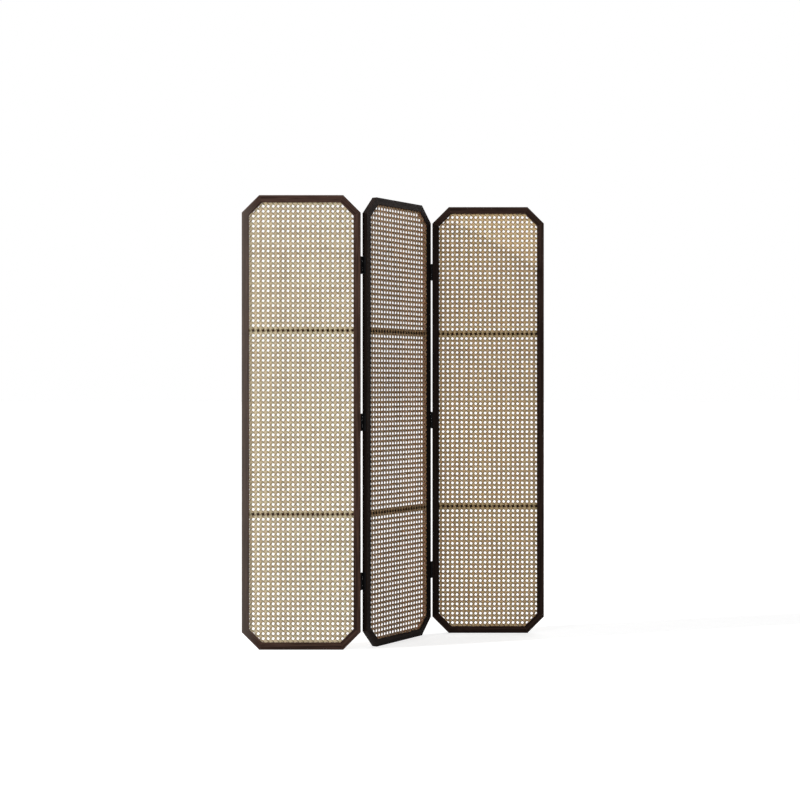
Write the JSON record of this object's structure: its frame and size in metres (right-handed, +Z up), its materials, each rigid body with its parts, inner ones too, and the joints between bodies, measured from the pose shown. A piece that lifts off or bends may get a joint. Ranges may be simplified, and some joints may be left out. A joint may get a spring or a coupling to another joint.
{
  "type": "folding screen",
  "caption": "Free-standing folding screen of octagonal wood-framed panels filled with woven cane, hinged to stand in a zigzag.",
  "frame": {"origin": "on the floor, under the middle of the centre panel, which is also the bottom centre of the whole screen's box as it stands", "axes": "+Z up; +X to the viewer's right, along the two outer panels; the front of the screen faces -Y, and the left panel stands nearer the viewer than the right one"},
  "size_m": [1.1818, 0.411, 1.72],
  "materials": {
    "frame": "dark walnut stain, satin",
    "crossbar": "dark walnut stain, satin",
    "bead": "dark walnut stain, satin",
    "tongue": "bare beech",
    "cane": "natural woven cane, satin outer skin",
    "hinge": "satin black enamel on steel",
    "pin": "black steel",
    "screw": "black japanned steel",
    "brad": "plain steel"
  },
  "bodies": {
    "centre_panel": {"centre_right_stile": "frame", "centre_top_right_corner": "frame", "centre_top_rail": "frame", "centre_top_left_corner": "frame", "centre_left_stile": "frame", "centre_bottom_left_corner": "frame", "centre_bottom_rail": "frame", "centre_bottom_right_corner": "frame", "centre_lower_crossbar": "crossbar", "centre_upper_crossbar": "crossbar", "centre_cane": "cane", "centre_beads": "bead", "centre_loose_tongues": "tongue", "centre_bead_brads": "brad", "centre_hinge_screws": "screw", "left_hinge_bottom_centre_leaf": "hinge", "left_hinge_middle_centre_leaf": "hinge", "left_hinge_top_centre_leaf": "hinge", "left_hinge_pins": "pin", "right_hinge_bottom_centre_leaf": "hinge", "right_hinge_middle_centre_leaf": "hinge", "right_hinge_top_centre_leaf": "hinge", "right_hinge_pins": "pin"},
    "left_panel": {"left_right_stile": "frame", "left_top_right_corner": "frame", "left_top_rail": "frame", "left_top_left_corner": "frame", "left_left_stile": "frame", "left_bottom_left_corner": "frame", "left_bottom_rail": "frame", "left_bottom_right_corner": "frame", "left_lower_crossbar": "crossbar", "left_upper_crossbar": "crossbar", "left_cane": "cane", "left_beads": "bead", "left_loose_tongues": "tongue", "left_bead_brads": "brad", "left_hinge_screws": "screw", "left_hinge_bottom_side_leaf": "hinge", "left_hinge_middle_side_leaf": "hinge", "left_hinge_top_side_leaf": "hinge"},
    "right_panel": {"right_right_stile": "frame", "right_top_right_corner": "frame", "right_top_rail": "frame", "right_top_left_corner": "frame", "right_left_stile": "frame", "right_bottom_left_corner": "frame", "right_bottom_rail": "frame", "right_bottom_right_corner": "frame", "right_lower_crossbar": "crossbar", "right_upper_crossbar": "crossbar", "right_cane": "cane", "right_beads": "bead", "right_loose_tongues": "tongue", "right_bead_brads": "brad", "right_hinge_screws": "screw", "right_hinge_bottom_side_leaf": "hinge", "right_hinge_middle_side_leaf": "hinge", "right_hinge_top_side_leaf": "hinge"}
  },
  "joints": [
    {"name": "left_fold", "type": "hinge", "parent": "centre_panel", "child": "left_panel", "pos_m": [-0.13786, -0.18203, 0.86], "axis": [0, 0, 1], "range_deg": [-124, 56]},
    {"name": "right_fold", "type": "hinge", "parent": "centre_panel", "child": "right_panel", "pos_m": [0.13786, 0.18203, 0.86], "axis": [0, 0, 1], "range_deg": [-124, 56]}
  ]
}
